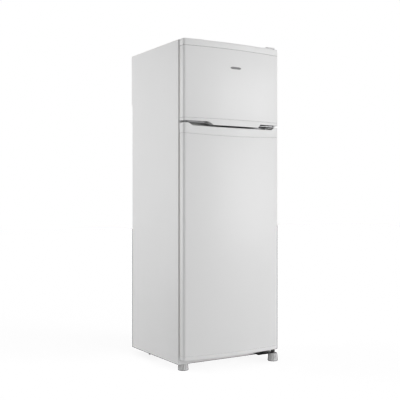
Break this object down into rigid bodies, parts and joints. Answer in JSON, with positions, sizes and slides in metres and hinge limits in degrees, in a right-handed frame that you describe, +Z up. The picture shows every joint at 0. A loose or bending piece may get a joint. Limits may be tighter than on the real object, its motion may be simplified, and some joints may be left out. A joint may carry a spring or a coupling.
{
  "type": "top freezer refrigerator",
  "caption": "Slim free-standing refrigerator with a small freezer door above a tall fridge door, a condenser behind and levelling feet.",
  "frame": {"origin": "on the floor, under the middle of the whole object's box", "axes": "+Z up, doors face -Y, hinges on the +X side, condenser at +Y"},
  "size_m": [0.55, 0.6, 1.566],
  "materials": {
    "white_enamel": "semi-gloss white enamel on steel sheet",
    "white_rail": "semi-gloss white enamel",
    "galvanised_sheet": "dull zinc-coated sheet",
    "insulation_foam": "rigid closed-cell foam",
    "white_liner": "vacuum-formed white plastic",
    "white_cap": "moulded white plastic, semi-gloss",
    "evaporator_aluminium": "roll-bonded plate",
    "compressor_black": "gloss black paint",
    "motor_iron": "laminated core and pump block",
    "black_steel": "satin black paint",
    "zinc_steel": "zinc-plated",
    "black_rubber": "matt",
    "black_plastic": "fine-textured",
    "condenser_black": "satin black paint",
    "copper": "bare copper",
    "tray_plastic": "dark grey moulded",
    "gasket_grey": "matt soft vinyl",
    "grip_grey": "grey moulded",
    "foot_plastic": "pale grey moulded, fluted",
    "shelf_glass": "clear safety glass",
    "trim_white": "moulded white plastic",
    "clear_plastic": "clear moulded polystyrene",
    "lamp_diffuser": "frosted",
    "bulb_glass": "clear"
  },
  "bodies": {
    "cabinet": {"base_plate": "black_steel", "bottom_hinge": "black_steel", "bottom_rail": "white_rail", "cabinet_foam": "insulation_foam", "compressor_grommets": "black_rubber", "compressor_motor": "motor_iron", "compressor_shell": "compressor_black", "condenser_brackets": "black_plastic", "condenser_coil": "condenser_black", "condenser_wires": "condenser_black", "control_housing": "white_liner", "divider_rail": "white_rail", "drain_tube": "tray_plastic", "drip_tray": "tray_plastic", "filter_drier": "copper", "floor_pan": "galvanised_sheet", "freezer_evaporator": "evaporator_aluminium", "freezer_liner": "white_liner", "freezer_shelf": "white_liner", "fridge_evaporator": "evaporator_aluminium", "fridge_liner": "white_liner", "glass_shelves": "shelf_glass", "hinge_screws": "zinc_steel", "lamp_bulb": "bulb_glass", "lamp_cover": "lamp_diffuser", "middle_hinge": "zinc_steel", "outer_shell": "white_enamel", "rear_panel": "galvanised_sheet", "refrigerant_pipes": "copper", "relay_box": "black_plastic", "roller_axles": "zinc_steel", "shelf_trims": "trim_white", "top_hinge": "zinc_steel", "top_hinge_cover": "white_cap"},
    "freezer_door": {"freezer_door_bin": "clear_plastic", "freezer_door_bottom_cap": "white_cap", "freezer_door_foam": "insulation_foam", "freezer_door_gasket": "gasket_grey", "freezer_door_liner": "white_liner", "freezer_door_skin": "white_enamel", "freezer_door_top_cap": "white_cap", "freezer_grip_insert": "grip_grey"},
    "fridge_door": {"fridge_door_bins": "clear_plastic", "fridge_door_bottom_cap": "white_cap", "fridge_door_foam": "insulation_foam", "fridge_door_gasket": "gasket_grey", "fridge_door_liner": "white_liner", "fridge_door_skin": "white_enamel", "fridge_door_top_cap": "white_cap"},
    "crisper": {"crisper_drawer": "clear_plastic"},
    "light_switch": {"light_switch_plunger": "trim_white"},
    "thermostat": {"thermostat_knob": "trim_white"},
    "left_stud": {"left_foot_stud": "zinc_steel"},
    "left_foot": {"left_foot": "foot_plastic"},
    "right_stud": {"right_foot_stud": "zinc_steel"},
    "right_foot": {"right_foot": "foot_plastic"},
    "left_roller": {"left_roller": "black_plastic"},
    "right_roller": {"right_roller": "black_plastic"}
  },
  "joints": [
    {"name": "freezer_door_hinge", "type": "hinge", "parent": "cabinet", "child": "freezer_door", "pos_m": [0.245, -0.2735, 1.36], "axis": [0, 0, 1], "range_deg": [0, 120]},
    {"name": "fridge_door_hinge", "type": "hinge", "parent": "cabinet", "child": "fridge_door", "pos_m": [0.245, -0.2735, 0.6], "axis": [0, 0, 1], "range_deg": [0, 120]},
    {"name": "crisper_slide", "type": "slide", "parent": "cabinet", "child": "crisper", "axis": [0, -1, 0], "range_m": [0, 0.1802]},
    {"name": "light_switch_travel", "type": "slide", "parent": "cabinet", "child": "light_switch", "axis": [0, -1, 0], "range_m": [0, 0.004]},
    {"name": "thermostat_turn", "type": "hinge", "parent": "cabinet", "child": "thermostat", "pos_m": [0.197, 0.0165, 1.004], "axis": [-1, 0, 0], "range_deg": [0, 270]},
    {"name": "left_foot_height", "type": "slide", "parent": "cabinet", "child": "left_stud", "axis": [0, 0, -1], "range_m": [0, 0.00901]},
    {"name": "left_foot_turn", "type": "hinge", "parent": "left_stud", "child": "left_foot", "pos_m": [-0.238, -0.2105, 0.02], "axis": [0, 0, -1], "range_deg": [0, 2160]},
    {"name": "right_foot_height", "type": "slide", "parent": "cabinet", "child": "right_stud", "axis": [0, 0, -1], "range_m": [0, 0.00901]},
    {"name": "right_foot_turn", "type": "hinge", "parent": "right_stud", "child": "right_foot", "pos_m": [0.245, -0.2735, 0.02], "axis": [0, 0, -1], "range_deg": [0, 2160]},
    {"name": "left_roller_spin", "type": "hinge", "parent": "cabinet", "child": "left_roller", "pos_m": [-0.17, 0.213, 0.014], "axis": [1, 0, 0], "continuous": true},
    {"name": "right_roller_spin", "type": "hinge", "parent": "cabinet", "child": "right_roller", "pos_m": [0.17, 0.213, 0.014], "axis": [1, 0, 0], "continuous": true}
  ],
  "couplings": [
    {"joint": "crisper_slide", "follows": "fridge_door_hinge", "m_per_rad": 0.085944},
    {"joint": "light_switch_travel", "follows": "fridge_door_hinge", "m_per_rad": 0.0019},
    {"joint": "left_foot_height", "follows": "left_foot_turn", "m_per_rad": 0.00023873},
    {"joint": "right_foot_height", "follows": "right_foot_turn", "m_per_rad": 0.00023873}
  ]
}
